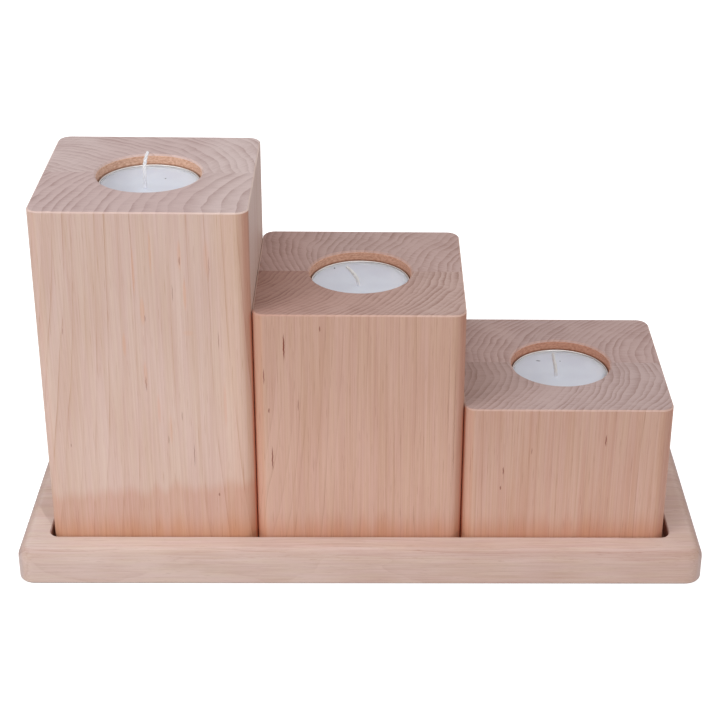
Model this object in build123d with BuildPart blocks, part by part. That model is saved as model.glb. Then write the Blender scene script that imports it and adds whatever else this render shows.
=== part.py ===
# Advent candle holder: three wooden blocks of stepped height stand loose in a routed wooden tray.
# Each block is glued up from two staves and bored from above for a tealight. The tray is glued up from
# three staves. A tealight is an aluminium cup of wax, with a wick that a metal clip holds on the cup's floor.
# Frame: +Z up, +X along the tray towards the short block, -Y towards the viewer.
# The origin is in the middle of the tray's underside. Sizes are in millimetres, and angles in degrees.

from build123d import *
from math import radians
import os

# Tealight cup, pressed from thin aluminium, with a beaded rim
cup_rim_diameter = 39.2
cup_height = 16.0
cup_wall = 0.3
cup_bead_diameter = 0.6
cup_draft = 0.4
cup_heel_radius = 1.2

# Wax, poured into the cup and shrunk clear of its wall as it set, with a dished surface
wax_shrinkage = 0.1
wax_below_rim = 0.5
wax_dish_depth = 1.9

# Wick, and the metal clip that stands it up in the wax
wick_diameter = 1.5
clip_diameter = 13.0
clip_thickness = 0.4
clip_neck_diameter = 2.7
clip_neck_height = 3.6
cast_clearance = 0.05

# Each wick's place left of the cup's centre, its length above the wax, and how far its lower and its
# upper half bend to the left
tall_wick_offset = 1.7
tall_wick_length = 15.1
tall_wick_bend = -1.0
tall_wick_curl = -23.0
middle_wick_offset = 0.7
middle_wick_length = 9.9
middle_wick_bend = 34.0
middle_wick_curl = 16.0
short_wick_offset = 1.6
short_wick_length = 10.6
short_wick_bend = 13.0
short_wick_curl = -3.0

# Blocks, square but for the short one, which is a little wider
block_side = 80.7
short_block_width = 81.4
block_edge_radius = 5.0
block_arris = 0.5
tall_block_height = 145.8
middle_block_height = 105.0
short_block_height = 65.0

# Socket in the top of each block
socket_clearance = 0.4
socket_arris = 0.8
cup_rim_below_top = 4.0

# Tray
tray_thickness = 14.5
tray_rim_width = 12.0
tray_corner_radius = 7.0
tray_top_edge_radius = 4.8
tray_bottom_edge_radius = 1.0
tray_front_stave_width = 19.2
tray_rear_stave_width = 37.7

# Recess in the tray, a little left of its middle, and the gaps along it from left to right
recess_depth = 7.5
recess_corner_radius = 4.0
recess_arris = 0.4
recess_side_gap = 0.4
recess_offset = 0.4
gap_left_of_tall = 1.5
gap_tall_to_middle = 0.15
gap_middle_to_short = 0.15
gap_right_of_short = 2.3

# Sizes that follow from those above
blocks_length = 2 * block_side + short_block_width + gap_tall_to_middle + gap_middle_to_short
recess_length = gap_left_of_tall + blocks_length + gap_right_of_short
recess_width = block_side + 2 * recess_side_gap
recess_floor = tray_thickness - recess_depth
tray_length = recess_length + 2 * tray_rim_width
tray_depth = recess_width + 2 * tray_rim_width
recess_left = -recess_offset - recess_length / 2
tall_block_x = recess_left + gap_left_of_tall + block_side / 2
middle_block_x = tall_block_x + block_side + gap_tall_to_middle
short_block_x = recess_left + recess_length - gap_right_of_short - short_block_width / 2
socket_radius = cup_rim_diameter / 2 + socket_clearance
socket_depth = cup_height + cup_rim_below_top
cup_bead_radius = cup_bead_diameter / 2
cup_wall_radius = cup_rim_diameter / 2 - cup_bead_radius
cup_base_radius = cup_wall_radius - cup_draft
wax_top = cup_height - wax_below_rim
wax_centre_top = wax_top - wax_dish_depth

os.makedirs("parts", exist_ok=True)


def save(part, label):
    part.label = label
    export_step(part, f"parts/{label}.step")


def glue_plane(y):
    """An upright glue line along X. Its top side is the one towards the back."""
    return Plane(origin=(0, y, 0), z_dir=(0, 1, 0))


def upright_plane(x, z):
    """A plane that faces the viewer, with its own X along X and its own Y up, for profiles round an axis."""
    return Plane(origin=(x, 0, z), x_dir=(1, 0, 0), z_dir=(0, -1, 0))


def make_tray():
    """The tray's board with its recess, cut apart at its two glue lines."""
    with BuildPart() as board:
        with BuildSketch():
            RectangleRounded(tray_length, tray_depth, tray_corner_radius)
        extrude(amount=tray_thickness)
        rim_face = board.faces().sort_by(Axis.Z)[-1]
        fillet(rim_face.edges(), tray_top_edge_radius)
        underside = board.faces().sort_by(Axis.Z)[0]
        fillet(underside.edges(), tray_bottom_edge_radius)
        with BuildSketch(Plane((-recess_offset, 0, tray_thickness))):
            RectangleRounded(recess_length, recess_width, recess_corner_radius)
        extrude(amount=-recess_depth, mode=Mode.SUBTRACT)
        rim_face = board.faces().sort_by(Axis.Z)[-1]
        chamfer(rim_face.inner_wires().edges(), recess_arris)

    front_glue = glue_plane(-tray_depth / 2 + tray_front_stave_width)
    rear_glue = glue_plane(tray_depth / 2 - tray_rear_stave_width)

    with BuildPart() as front_stave:
        add(board.part)
        split(bisect_by=front_glue, keep=Keep.BOTTOM)
    save(front_stave.part, "tray_front_stave")

    with BuildPart() as middle_stave:
        add(board.part)
        split(bisect_by=front_glue, keep=Keep.TOP)
        split(bisect_by=rear_glue, keep=Keep.BOTTOM)
    save(middle_stave.part, "tray_middle_stave")

    with BuildPart() as rear_stave:
        add(board.part)
        split(bisect_by=rear_glue, keep=Keep.TOP)
    save(rear_stave.part, "tray_rear_stave")


def make_block(name, x, width, height):
    """A block with its socket, cut apart at its middle into two equal staves, one in front of the other."""
    foot = Plane((x, 0, recess_floor))
    with BuildPart() as block:
        with BuildSketch(foot):
            RectangleRounded(width, block_side, block_edge_radius)
        extrude(amount=height)
        end_faces = block.faces().filter_by(Axis.Z)
        chamfer(end_faces.edges(), block_arris)
        with Locations(foot.offset(height)):
            Hole(socket_radius, socket_depth)
        top_face = block.faces().sort_by(Axis.Z)[-1]
        chamfer(top_face.inner_wires().edges(), socket_arris)

    glue = glue_plane(0)
    for place, side in (("front", Keep.BOTTOM), ("rear", Keep.TOP)):
        with BuildPart() as stave:
            add(block.part)
            split(bisect_by=glue, keep=side)
        save(stave.part, f"{name}_block_{place}_stave")


def make_cup(name, x, seat):
    """The cup: a thin drafted wall on a flat floor, with a round heel below and a bead round its rim."""
    cup_axis = Axis((x, 0, seat), (0, 0, 1))
    with BuildPart() as cup:
        with BuildSketch(upright_plane(x, seat)):
            with BuildLine():
                floor = Line((0, 0), (cup_base_radius - cup_heel_radius, 0))
                heel = JernArc(floor @ 1, floor % 1, cup_heel_radius, 90)
                wall = Line(heel @ 1, (cup_wall_radius, cup_height - cup_bead_radius))
                lip = Line(wall @ 1, (cup_wall_radius - cup_wall, cup_height - cup_bead_radius))
                inner_heel_end = (cup_base_radius - cup_wall, cup_heel_radius)
                inner_wall = Line(lip @ 1, inner_heel_end)
                inner_heel = JernArc(inner_heel_end, (0, -1), cup_heel_radius - cup_wall, -90)
                inner_floor = Line(inner_heel @ 1, (0, cup_wall))
                Line(inner_floor @ 1, floor @ 0)
            make_face()
            with Locations((cup_wall_radius, cup_height - cup_bead_radius)):
                Circle(cup_bead_radius)
        revolve(axis=cup_axis)
    save(cup.part, f"{name}_tealight_cup")


def make_wax(name, x, seat, wick_x):
    """The wax: it fills the cup up to a dished surface, with room for the clip and the wick."""
    wax_axis = Axis((x, 0, seat), (0, 0, 1))
    heel = cup_heel_radius - cup_wall
    base_radius = cup_base_radius - cup_wall - wax_shrinkage
    # The wall leans out by the draft over its height, and the wax's side runs along it
    slope = cup_draft / (cup_height - cup_bead_radius - cup_heel_radius)
    top_radius = base_radius + slope * (wax_top - cup_heel_radius)
    clip_floor = Plane((wick_x, 0, seat + cup_wall))
    with BuildPart() as wax:
        with BuildSketch(upright_plane(x, seat)):
            with BuildLine():
                bottom = Line((0, cup_wall), (base_radius - heel, cup_wall))
                edge = JernArc(bottom @ 1, bottom % 1, heel, 90)
                side = Line(edge @ 1, (top_radius, wax_top))
                dish = TangentArc((0, wax_centre_top), side @ 1, tangent=(1, 0))
                Line(dish @ 0, bottom @ 0)
            make_face()
        revolve(axis=wax_axis)
        with BuildSketch(clip_floor):
            Circle(clip_diameter / 2 + cast_clearance)
        extrude(amount=clip_thickness + cast_clearance, mode=Mode.SUBTRACT)
        with BuildSketch(clip_floor):
            Circle(clip_neck_diameter / 2 + cast_clearance)
        extrude(amount=clip_thickness + clip_neck_height + cast_clearance, mode=Mode.SUBTRACT)
        with BuildSketch(clip_floor):
            Circle(wick_diameter / 2 + cast_clearance)
        extrude(amount=cup_height, mode=Mode.SUBTRACT)
    save(wax.part, f"{name}_tealight_wax")


def make_wick_clip(name, seat, wick_x):
    """The clip: a round plate on the cup's floor with a neck that the wick stands in."""
    clip_floor = Plane((wick_x, 0, seat + cup_wall))
    with BuildPart() as clip:
        with BuildSketch(clip_floor):
            Circle(clip_diameter / 2)
        extrude(amount=clip_thickness)
        with BuildSketch(clip_floor.offset(clip_thickness)):
            Circle(clip_neck_diameter / 2)
        extrude(amount=clip_neck_height)
        with Locations(clip_floor.offset(clip_thickness + clip_neck_height)):
            Hole(wick_diameter / 2 + cast_clearance)
    save(clip.part, f"{name}_tealight_wick_clip")


def make_wick(name, seat, wick_x, length, bend, curl):
    """The wick: straight through the clip and the wax, then two arcs of equal length, bending to the left."""
    arc_length = length / 2
    foot = upright_plane(wick_x, seat + cup_wall)
    with BuildPart() as wick:
        with BuildLine(foot) as path:
            stem = Line((0, 0), (0, wax_centre_top - cup_wall))
            lower = JernArc(stem @ 1, stem % 1, arc_length / abs(radians(bend)), bend)
            JernArc(lower @ 1, lower % 1, arc_length / abs(radians(curl)), curl)
        with BuildSketch(Plane(path.line @ 0, z_dir=path.line % 0)):
            Circle(wick_diameter / 2)
        sweep()
    save(wick.part, f"{name}_tealight_wick")


def make_tealight(name, x, block_height, wick_offset, wick_length, wick_bend, wick_curl):
    """A tealight that stands on the floor of a block's socket."""
    seat = recess_floor + block_height - socket_depth
    wick_x = x - wick_offset
    make_cup(name, x, seat)
    make_wax(name, x, seat, wick_x)
    make_wick_clip(name, seat, wick_x)
    make_wick(name, seat, wick_x, wick_length, wick_bend, wick_curl)


make_tray()

make_block("tall", tall_block_x, block_side, tall_block_height)
make_block("middle", middle_block_x, block_side, middle_block_height)
make_block("short", short_block_x, short_block_width, short_block_height)

make_tealight("tall", tall_block_x, tall_block_height,
              tall_wick_offset, tall_wick_length, tall_wick_bend, tall_wick_curl)
make_tealight("middle", middle_block_x, middle_block_height,
              middle_wick_offset, middle_wick_length, middle_wick_bend, middle_wick_curl)
make_tealight("short", short_block_x, short_block_height,
              short_wick_offset, short_wick_length, short_wick_bend, short_wick_curl)

print(f"tray {tray_length:.1f} x {tray_depth:.1f} x {tray_thickness:.1f}")
print(f"recess {recess_length:.1f} x {recess_width:.1f} x {recess_depth:.1f}")
print(f"block centres {tall_block_x:.2f} {middle_block_x:.2f} {short_block_x:.2f}")
print(f"socket radius {socket_radius:.2f}")
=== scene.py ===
# %% [markdown]
# # An advent candle holder
# Three square blocks of pale wood, each one step lower than the last, stand loose in a shallow wooden
# tray. Each block has a socket in its top that holds a tealight. The solids are already there at their
# real size, so this lesson only dresses them: light, wood, foil, wax and cotton. The box round the bare
# solids is kept, to compare with the dressed object at the end.

# %% Load the solids
import bmesh
import bpy
from math import cos, exp, pi, radians, sin
from mathutils import Matrix, Vector
from types import SimpleNamespace


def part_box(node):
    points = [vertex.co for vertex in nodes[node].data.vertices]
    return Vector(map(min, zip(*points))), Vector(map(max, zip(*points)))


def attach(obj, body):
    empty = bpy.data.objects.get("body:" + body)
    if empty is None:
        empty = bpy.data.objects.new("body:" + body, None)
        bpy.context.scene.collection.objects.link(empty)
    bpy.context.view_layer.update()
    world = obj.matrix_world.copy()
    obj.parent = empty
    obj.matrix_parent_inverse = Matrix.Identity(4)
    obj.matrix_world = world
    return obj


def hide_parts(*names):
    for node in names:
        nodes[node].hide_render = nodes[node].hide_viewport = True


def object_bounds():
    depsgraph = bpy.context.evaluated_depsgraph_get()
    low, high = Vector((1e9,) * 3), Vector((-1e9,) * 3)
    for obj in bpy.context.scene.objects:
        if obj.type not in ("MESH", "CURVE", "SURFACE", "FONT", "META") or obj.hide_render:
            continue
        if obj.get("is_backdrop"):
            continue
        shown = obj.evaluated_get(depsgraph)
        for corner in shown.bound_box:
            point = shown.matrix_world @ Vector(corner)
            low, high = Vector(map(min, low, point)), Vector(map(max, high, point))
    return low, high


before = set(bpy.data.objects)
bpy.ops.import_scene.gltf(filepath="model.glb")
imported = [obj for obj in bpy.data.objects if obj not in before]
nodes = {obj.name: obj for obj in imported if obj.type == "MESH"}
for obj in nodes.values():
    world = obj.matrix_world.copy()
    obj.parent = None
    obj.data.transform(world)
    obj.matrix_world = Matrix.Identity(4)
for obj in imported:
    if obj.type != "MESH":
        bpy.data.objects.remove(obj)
bare_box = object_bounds()
mm = 0.001
print("solids:", len(nodes), "box in mm:", [[round(c / mm, 1) for c in corner] for corner in bare_box])

# %% [markdown]
# ## Camera
# The picture was taken with a long lens, straight from the front and from a little above. Such a view
# could be set by eye, but the upright edges of the blocks and the ovals of the sockets fix it better: a
# lens of about 86 mm, some 0.7 m away, looking down by 26 degrees. The frame was cropped off its middle,
# which a lens shift repeats without turning the camera.

# %% Camera
camera_data = bpy.data.cameras.new("photo_camera")
camera_data.sensor_width = 36.0
camera_data.lens = 86.28
camera_data.shift_x = -0.0821
camera_data.shift_y = -0.0265
camera = bpy.data.objects.new("photo_camera", camera_data)
bpy.context.scene.collection.objects.link(camera)
camera_place = Vector((0.00383, -0.62124, 0.39105))
heading, look_down, roll = radians(-1.722), radians(26.481), radians(1.043)
camera.matrix_world = (
    Matrix.Translation(camera_place)
    @ Matrix.Rotation(heading, 4, "Z")
    @ Matrix.Rotation(pi / 2 - look_down, 4, "X")
    @ Matrix.Rotation(roll, 4, "Z")
)
bpy.context.scene.camera = camera
print("camera", [round(c, 3) for c in camera_place], "lens", camera_data.lens)

# %% [markdown]
# ## Node helpers
# Materials come from node trees. They could be drawn by hand in the Shader Editor, but code repeats them
# for nine staves and three candles. Short helpers add a node, fill its sockets with numbers or links, do
# a step of arithmetic and start a material.

# %% Node helpers
def fill(tree, node, sockets):
    """Fills a node's sockets, by name or number, with values or with links from other nodes."""
    for name, value in sockets.items():
        if isinstance(value, bpy.types.NodeSocket):
            tree.links.new(value, node.inputs[name])
        else:
            node.inputs[name].default_value = value


def add_node(tree, kind, sockets=None, **settings):
    node = tree.nodes.new(kind)
    for name, value in settings.items():
        setattr(node, name, value)
    fill(tree, node, sockets or {})
    return node


def calc(tree, operation, first, second=0.0, third=0.0):
    """One step of arithmetic on numbers or outputs."""
    return add_node(tree, "ShaderNodeMath", {0: first, 1: second, 2: third}, operation=operation).outputs[0]


def new_material(name):
    """A material with a Principled BSDF, ready to be wired: the material, its tree and the shader."""
    material = bpy.data.materials.new(name)
    material.use_nodes = True
    return material, material.node_tree, material.node_tree.nodes["Principled BSDF"]


print("node helpers ready, materials so far:", len(bpy.data.materials))

# %% [markdown]
# ## Studio
# The object stands in a bright white studio. The world gives an even light from all sides. It could be as
# bright as it looks, but then the wood would be washed out, so it is dim as a lamp, and white only to
# rays that see it.

# %% World
ambient_level = 0.35
plain_white = (1.0, 1.0, 1.0, 1.0)


def seen_or_lit(tree, seen, lit):
    """Shows one shader to camera, mirror and glass rays, and the other to all rays that only carry light."""
    path = add_node(tree, "ShaderNodeLightPath").outputs
    direct = calc(tree, "MAXIMUM", path["Is Camera Ray"], path["Is Glossy Ray"])
    direct = calc(tree, "MAXIMUM", direct, path["Is Transmission Ray"])
    sockets = {0: direct, 1: lit.outputs[0], 2: seen.outputs[0]}
    return add_node(tree, "ShaderNodeMixShader", sockets).outputs[0]


world = bpy.data.worlds.new("studio")
world.use_nodes = True
bpy.context.scene.world = world
bpy.context.scene.view_settings.view_transform = "Standard"
sky = world.node_tree
sky.nodes.clear()
even = add_node(sky, "ShaderNodeBackground", {"Color": plain_white, "Strength": ambient_level})
white = add_node(sky, "ShaderNodeBackground", {"Color": plain_white, "Strength": 1.0})
add_node(sky, "ShaderNodeOutputWorld", {"Surface": seen_or_lit(sky, white, even)})
print("world: even light of", ambient_level)

# %% [markdown]
# The floor is a wide sheet of white paper. Lamps could light it until it is white, but then the wood
# would be too bright as well. So the floor glows a little for the rays that see it, and still takes the
# thin shadow of the tray.

# %% Floor
floor_half_side = 3.0
floor_drop = 0.1 * mm
floor_grey = 0.65
floor_glow = 0.78
floor_material, tree, shader = new_material("studio_floor")
tree.nodes.remove(shader)
pale = add_node(tree, "ShaderNodeBsdfDiffuse", {"Color": (floor_grey, floor_grey, floor_grey, 1.0)})
glow = add_node(tree, "ShaderNodeEmission", {"Color": plain_white, "Strength": floor_glow})
glowing = add_node(tree, "ShaderNodeAddShader", {0: pale.outputs[0], 1: glow.outputs[0]})
tree.links.new(seen_or_lit(tree, glowing, pale), tree.nodes["Material Output"].inputs["Surface"])
bm = bmesh.new()
bmesh.ops.create_grid(bm, x_segments=1, y_segments=1, size=floor_half_side)
bmesh.ops.translate(bm, verts=bm.verts, vec=(0, 0, -floor_drop))
floor_mesh = bpy.data.meshes.new("studio_floor")
bm.to_mesh(floor_mesh)
bm.free()
floor_mesh.materials.append(floor_material)
floor = bpy.data.objects.new("studio_floor", floor_mesh)
bpy.context.scene.collection.objects.link(floor)
floor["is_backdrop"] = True
print("floor", 2 * floor_half_side, "m wide")

# %% [markdown]
# Four lamps light the object. A broad one in front on the left makes the left side of each block the
# lighter one. A small one in front, a little to the right, draws the crisp wedge of shadow on the tray's
# left rim. A wide one overhead lights the tops. It hangs a little to the left, so each block softly
# shades the next one. A weak one on the right keeps the right sides from going dark. One sun could light
# it all, but every shadow would be hard.

# %% Lamps
look_at = Vector((0.0, 0.0, 0.06))


def add_lamp(name, place, side, watts):
    data = bpy.data.lights.new(name, "AREA")
    data.shape = "SQUARE"
    data.size = side
    data.energy = watts
    lamp = bpy.data.objects.new(name, data)
    bpy.context.scene.collection.objects.link(lamp)
    lamp.location = place
    lamp.rotation_euler = (look_at - Vector(place)).to_track_quat("-Z", "Y").to_euler()
    print("lamp", name, place, watts, "W")


add_lamp("left_softbox", place=(-0.85, -0.60, 0.66), side=0.60, watts=5.2)
add_lamp("right_spot", place=(0.55, -1.35, 1.15), side=0.02, watts=9.2)
add_lamp("overhead_softbox", place=(-0.25, -0.35, 1.40), side=0.80, watts=5.5)
add_lamp("right_fill", place=(1.10, 0.10, 0.75), side=0.80, watts=1.6)

# %% [markdown]
# ## Masks
# A mask is a number from 0 to 1 that says where an effect shows. Ramps make masks from places and
# normals, and a product keeps what all its masks share. Color Ramp nodes could do this, but two limits
# are easier to read.

# %% Mask helpers
def ramp(tree, value, low, high, to_low=0.0, to_high=1.0):
    """A smooth step: to_low below low, to_high above high. It runs backwards if low is the larger one."""
    sockets = {"Value": value, "From Min": low, "From Max": high, "To Min": to_low, "To Max": to_high}
    return add_node(tree, "ShaderNodeMapRange", sockets, interpolation_type="SMOOTHSTEP").outputs[0]


def between(tree, share, low, high):
    """Low where the share is 0, high where it is 1."""
    return calc(tree, "MULTIPLY_ADD", share, high - low, low)


def product(tree, first, *others):
    for other in others:
        first = calc(tree, "MULTIPLY", first, other)
    return first


def parts(tree, vector):
    """The X, Y and Z of a vector."""
    return add_node(tree, "ShaderNodeSeparateXYZ", {0: vector}).outputs


def oval(tree, sideways, half_width, lengthways, half_length):
    """The squared distance from the middle of an oval, which is 1 on its outline."""
    first = calc(tree, "DIVIDE", sideways, half_width)
    second = calc(tree, "DIVIDE", lengthways, half_length)
    return calc(tree, "MULTIPLY_ADD", first, first, calc(tree, "MULTIPLY", second, second))


print("mask helpers ready")

# %% [markdown]
# ## Colours, noise and groups
# Colours are written as a screen shows them and turned into the linear values of shaders. Noise is given
# in waves per millimetre, so that a grain can be measured and typed in. What several materials share
# becomes a node group.

# %% Colour, noise and group helpers
def screen_colour(red, green, blue):
    """A colour as a screen shows it, 0 to 255, in the linear values that shaders use."""
    def linear(level):
        share = level / 255
        return share / 12.92 if share <= 0.04045 else ((share + 0.055) / 1.055) ** 2.4
    return (linear(red), linear(green), linear(blue), 1.0)


def mix_colour(tree, share, first, second, blend="MIX"):
    sockets = {0: share, 6: first, 7: second}
    return add_node(tree, "ShaderNodeMix", sockets, data_type="RGBA", blend_type=blend).outputs[2]


def noise(tree, place, stretch, detail=2.0):
    """Noise on a place in millimetres. Stretch holds the waves per millimetre along x, y and z."""
    scaled = add_node(tree, "ShaderNodeVectorMath", {0: place, 1: stretch}, operation="MULTIPLY").outputs[0]
    sockets = {"Vector": scaled, "Scale": 1.0, "Detail": detail}
    return add_node(tree, "ShaderNodeTexNoise", sockets).outputs[0]


def new_group(name, inputs, outputs):
    """A shader node group with named sockets, then what it is given and what it has to put out."""
    group = bpy.data.node_groups.new(name, "ShaderNodeTree")
    for label, kind in inputs:
        group.interface.new_socket(label, in_out="INPUT", socket_type="NodeSocket" + kind)
    for label, kind in outputs:
        group.interface.new_socket(label, in_out="OUTPUT", socket_type="NodeSocket" + kind)
    return group, group.nodes.new("NodeGroupInput").outputs, group.nodes.new("NodeGroupOutput").inputs


print("a mid grey on screen is", round(screen_colour(128, 128, 128)[0], 3), "in a shader")

# %% [markdown]
# ## Growth rings
# Wood is a stack of yearly rings round the heart of the tree. Far from the heart they cross a stave as
# nearly parallel arcs, which end grain shows as curved lines, and the faces along the fibres show as
# streaks. A flat picture of wood could be wrapped round a block, but its lines would break at every edge.
# One group works out the rings in three dimensions instead, so that a line on the top of a block runs on
# down its front. It counts outwards: how far a point lies along the outward direction, plus the bow of
# the arc, plus some wander.

# %% Growth rings: how far out a point lies
rings, given, put = new_group(
    "growth_rings",
    [("Place", "Vector"), ("Turn", "Float"), ("Apex", "Float"), ("Bow", "Float"), ("Rings per mm", "Float"),
     ("Crowding", "Float"), ("Wander", "Float"), ("Lean", "Float"), ("Fan", "Float"), ("Seed", "Float")],
    [("Ring Place", "Vector"), ("Phase", "Float"), ("Luck", "Float")],
)
seed_spacing = (37.0, 61.0, 83.0)
# Each wave of the wander: waves per millimetre across and along the fibres, detail, and share of the whole
wander_waves = [(0.035, 0.008, 0.0, 1.0), (0.10, 0.012, 0.5, 0.50), (0.26, 0.012, 1.0, 0.20)]
moved = add_node(rings, "ShaderNodeVectorMath", {0: seed_spacing, 1: given["Seed"], 2: given["Place"]},
                 operation="MULTIPLY_ADD")
wave = 0.0
for rate_across, rate_along, detail, share in wander_waves:
    swing = noise(rings, moved.outputs[0], (rate_across, rate_across, rate_along), detail)
    wave = calc(rings, "MULTIPLY_ADD", calc(rings, "SUBTRACT", swing, 0.5), share, wave)
turned = add_node(rings, "ShaderNodeVectorRotate", {"Vector": given["Place"], "Angle": given["Turn"]},
                  rotation_type="Z_AXIS", invert=True)
across = parts(rings, turned.outputs[0])
beside = calc(rings, "SUBTRACT", across["Y"], given["Apex"])
reach = calc(rings, "MULTIPLY_ADD", calc(rings, "MULTIPLY", beside, beside), given["Bow"], across["X"])
reach = calc(rings, "MULTIPLY_ADD", wave, given["Wander"], reach)
slant = calc(rings, "MULTIPLY_ADD", across["X"], given["Fan"], given["Lean"])
reach = calc(rings, "MULTIPLY_ADD", slant, across["Z"], reach)
ring_place = add_node(rings, "ShaderNodeCombineXYZ", {0: reach, 1: beside, 2: across["Z"]})
rings.links.new(ring_place.outputs[0], put["Ring Place"])
print("growth rings so far:", len(rings.nodes), "nodes")

# %% [markdown]
# Good years make wide rings and bad years narrow ones. Rings of equal width would be simpler, but they
# look printed. So the count runs ahead or falls behind with a slow noise. Its whole part numbers the
# ring, which gets some luck of its own, and the rest is how far the year has gone.

# %% Growth rings: which year it is
year_rate = 0.10
good_year_gain = 4.0
year = calc(rings, "MULTIPLY_ADD", reach, year_rate, given["Seed"])
good_years = add_node(rings, "ShaderNodeTexNoise", {"W": year, "Scale": 1.0, "Detail": 1.0},
                      noise_dimensions="1D")
count = calc(rings, "MULTIPLY_ADD", good_years.outputs[0], good_year_gain, reach)
count = calc(rings, "MULTIPLY", count, given["Rings per mm"])
count = calc(rings, "MULTIPLY_ADD", calc(rings, "MULTIPLY", reach, reach), given["Crowding"], count)
luck = add_node(rings, "ShaderNodeTexWhiteNoise", {"W": calc(rings, "FLOOR", count)}, noise_dimensions="1D")
rings.links.new(calc(rings, "FRACT", count), put["Phase"])
rings.links.new(luck.outputs[0], put["Luck"])
print("growth rings:", len(rings.nodes), "nodes")

# %% [markdown]
# ## Wood figure
# The same ring looks different on the two kinds of face. Along the fibres the end of a year is a thin
# brown line, broken into dashes, on a ground of long soft streaks that waver between yellowish and
# pinkish. One noise could paint streaks, but wood has several sizes of them, so some are added up.

# %% Wood figure along the fibres
figure, given, put = new_group(
    "wood_figure",
    [("Place", "Vector"), ("Ring Place", "Vector"), ("Phase", "Float"), ("Luck", "Float"),
     ("End Grain", "Float"), ("Line Strength", "Float"), ("Pale", "Color"), ("Warm", "Color"),
     ("Line", "Color"), ("End Pale", "Color"), ("End Dark", "Color")],
    [("Color", "Color"), ("Relief", "Float"), ("Roughness", "Float")],
)
place, ring_place, phase = given["Place"], given["Ring Place"], given["Phase"]
yellowish = (1.0, 1.0, 0.97, 1.0)
pinkish = (1.0, 0.983, 1.0, 1.0)
palest, warmest = 0.38, 0.74
line_sharpness = 12.0
dash_strength = 0.36
bands = noise(figure, ring_place, (0.22, 0.03, 0.006), 1.0)
streaks = noise(figure, place, (2.0, 2.0, 0.020), 3.0)
clouds = noise(figure, place, (0.08, 0.08, 0.020), 1.0)
warmth = 0.0
for texture, share in ((streaks, 0.50), (bands, 0.30), (clouds, 0.25), (phase, 0.04)):
    warmth = calc(figure, "MULTIPLY_ADD", texture, share, warmth)
along_fibres = mix_colour(figure, ramp(figure, warmth, palest, warmest), given["Pale"], given["Warm"])
hue = ramp(figure, noise(figure, place, (0.40, 0.40, 0.022), 2.0), 0.32, 0.68)
hue = mix_colour(figure, hue, yellowish, pinkish)
along_fibres = mix_colour(figure, 1.0, along_fibres, hue, "MULTIPLY")
dashes = ramp(figure, noise(figure, place, (2.4, 2.4, 0.085), 2.0), 0.60, 0.76, 0.0, dash_strength)
broken = ramp(figure, noise(figure, place, (0.5, 0.5, 0.030), 2.0), 0.36, 0.62, 0.20, 1.0)
year_end = ramp(figure, phase, 0.985, 1.0, 1.0, 0.0)
luck = between(figure, given["Luck"], 0.3, 1.0)
line = product(figure, calc(figure, "POWER", phase, line_sharpness), year_end, broken, luck)
line = calc(figure, "MULTIPLY_ADD", line, given["Line Strength"], dashes)
along_fibres = mix_colour(figure, line, along_fibres, given["Line"])
print("wood figure along the fibres:", len(figure.nodes), "nodes")

# %% [markdown]
# On end grain each year starts pale and darkens slowly, until the next one starts. Rays cross the rings
# as fine light lines, and pores and patches make it uneven.

# %% Wood figure of end grain
late_slope = 1.7
clear = ramp(figure, noise(figure, place, (0.09, 0.09, 0.01), 1.0), 0.35, 0.65, 0.55, 1.15)
year_end = ramp(figure, phase, 0.95, 1.0, 1.0, 0.0)
luck = between(figure, given["Luck"], 0.6, 1.2)
late = product(figure, calc(figure, "POWER", phase, late_slope), year_end, luck, clear)
rays = noise(figure, ring_place, (0.16, 2.2, 0.30), 3.0)
pores = noise(figure, place, (3.4, 3.4, 0.5), 3.0)
patches = noise(figure, place, (0.06, 0.06, 0.01), 1.0)
for texture, share in ((rays, 1.5), (pores, 1.0), (patches, 0.9)):
    late = calc(figure, "MULTIPLY_ADD", calc(figure, "SUBTRACT", texture, 0.5), share, late)
across_fibres = mix_colour(figure, late, given["End Pale"], given["End Dark"])
print("wood figure with end grain:", len(figure.nodes), "nodes")

# %% [markdown]
# Both kinds of face then get the finest fibres, as a slight change of tone. The same fibres put out the
# tiny relief and an uneven sheen: sanded wood is never quite even.

# %% What the wood figure puts out
fibres = noise(figure, place, (5.5, 5.5, 0.16), 2.0)
bare = mix_colour(figure, given["End Grain"], along_fibres, across_fibres)
shade = between(figure, fibres, 0.93, 1.07)
fine = add_node(figure, "ShaderNodeCombineColor", {0: shade, 1: shade, 2: shade}).outputs[0]
figure.links.new(mix_colour(figure, 1.0, bare, fine, "MULTIPLY"), put["Color"])
lengthwise = calc(figure, "MULTIPLY_ADD", streaks, 0.5, calc(figure, "SUBTRACT", fibres, line))
endwise = calc(figure, "SUBTRACT", pores, lengthwise)
figure.links.new(calc(figure, "MULTIPLY_ADD", endwise, given["End Grain"], lengthwise), put["Relief"])
figure.links.new(between(figure, fibres, 0.52, 0.72), put["Roughness"])
print("wood figure:", len(figure.nodes), "nodes")

# %% [markdown]
# ## Flecks
# Here and there the wood has a short dark fleck along the fibres, where the tree healed a small wound.
# Noise could scatter them, but a few stand out on the fronts, so a small group draws one long oval spot
# at a given place, and each stave gets its own.

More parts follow.
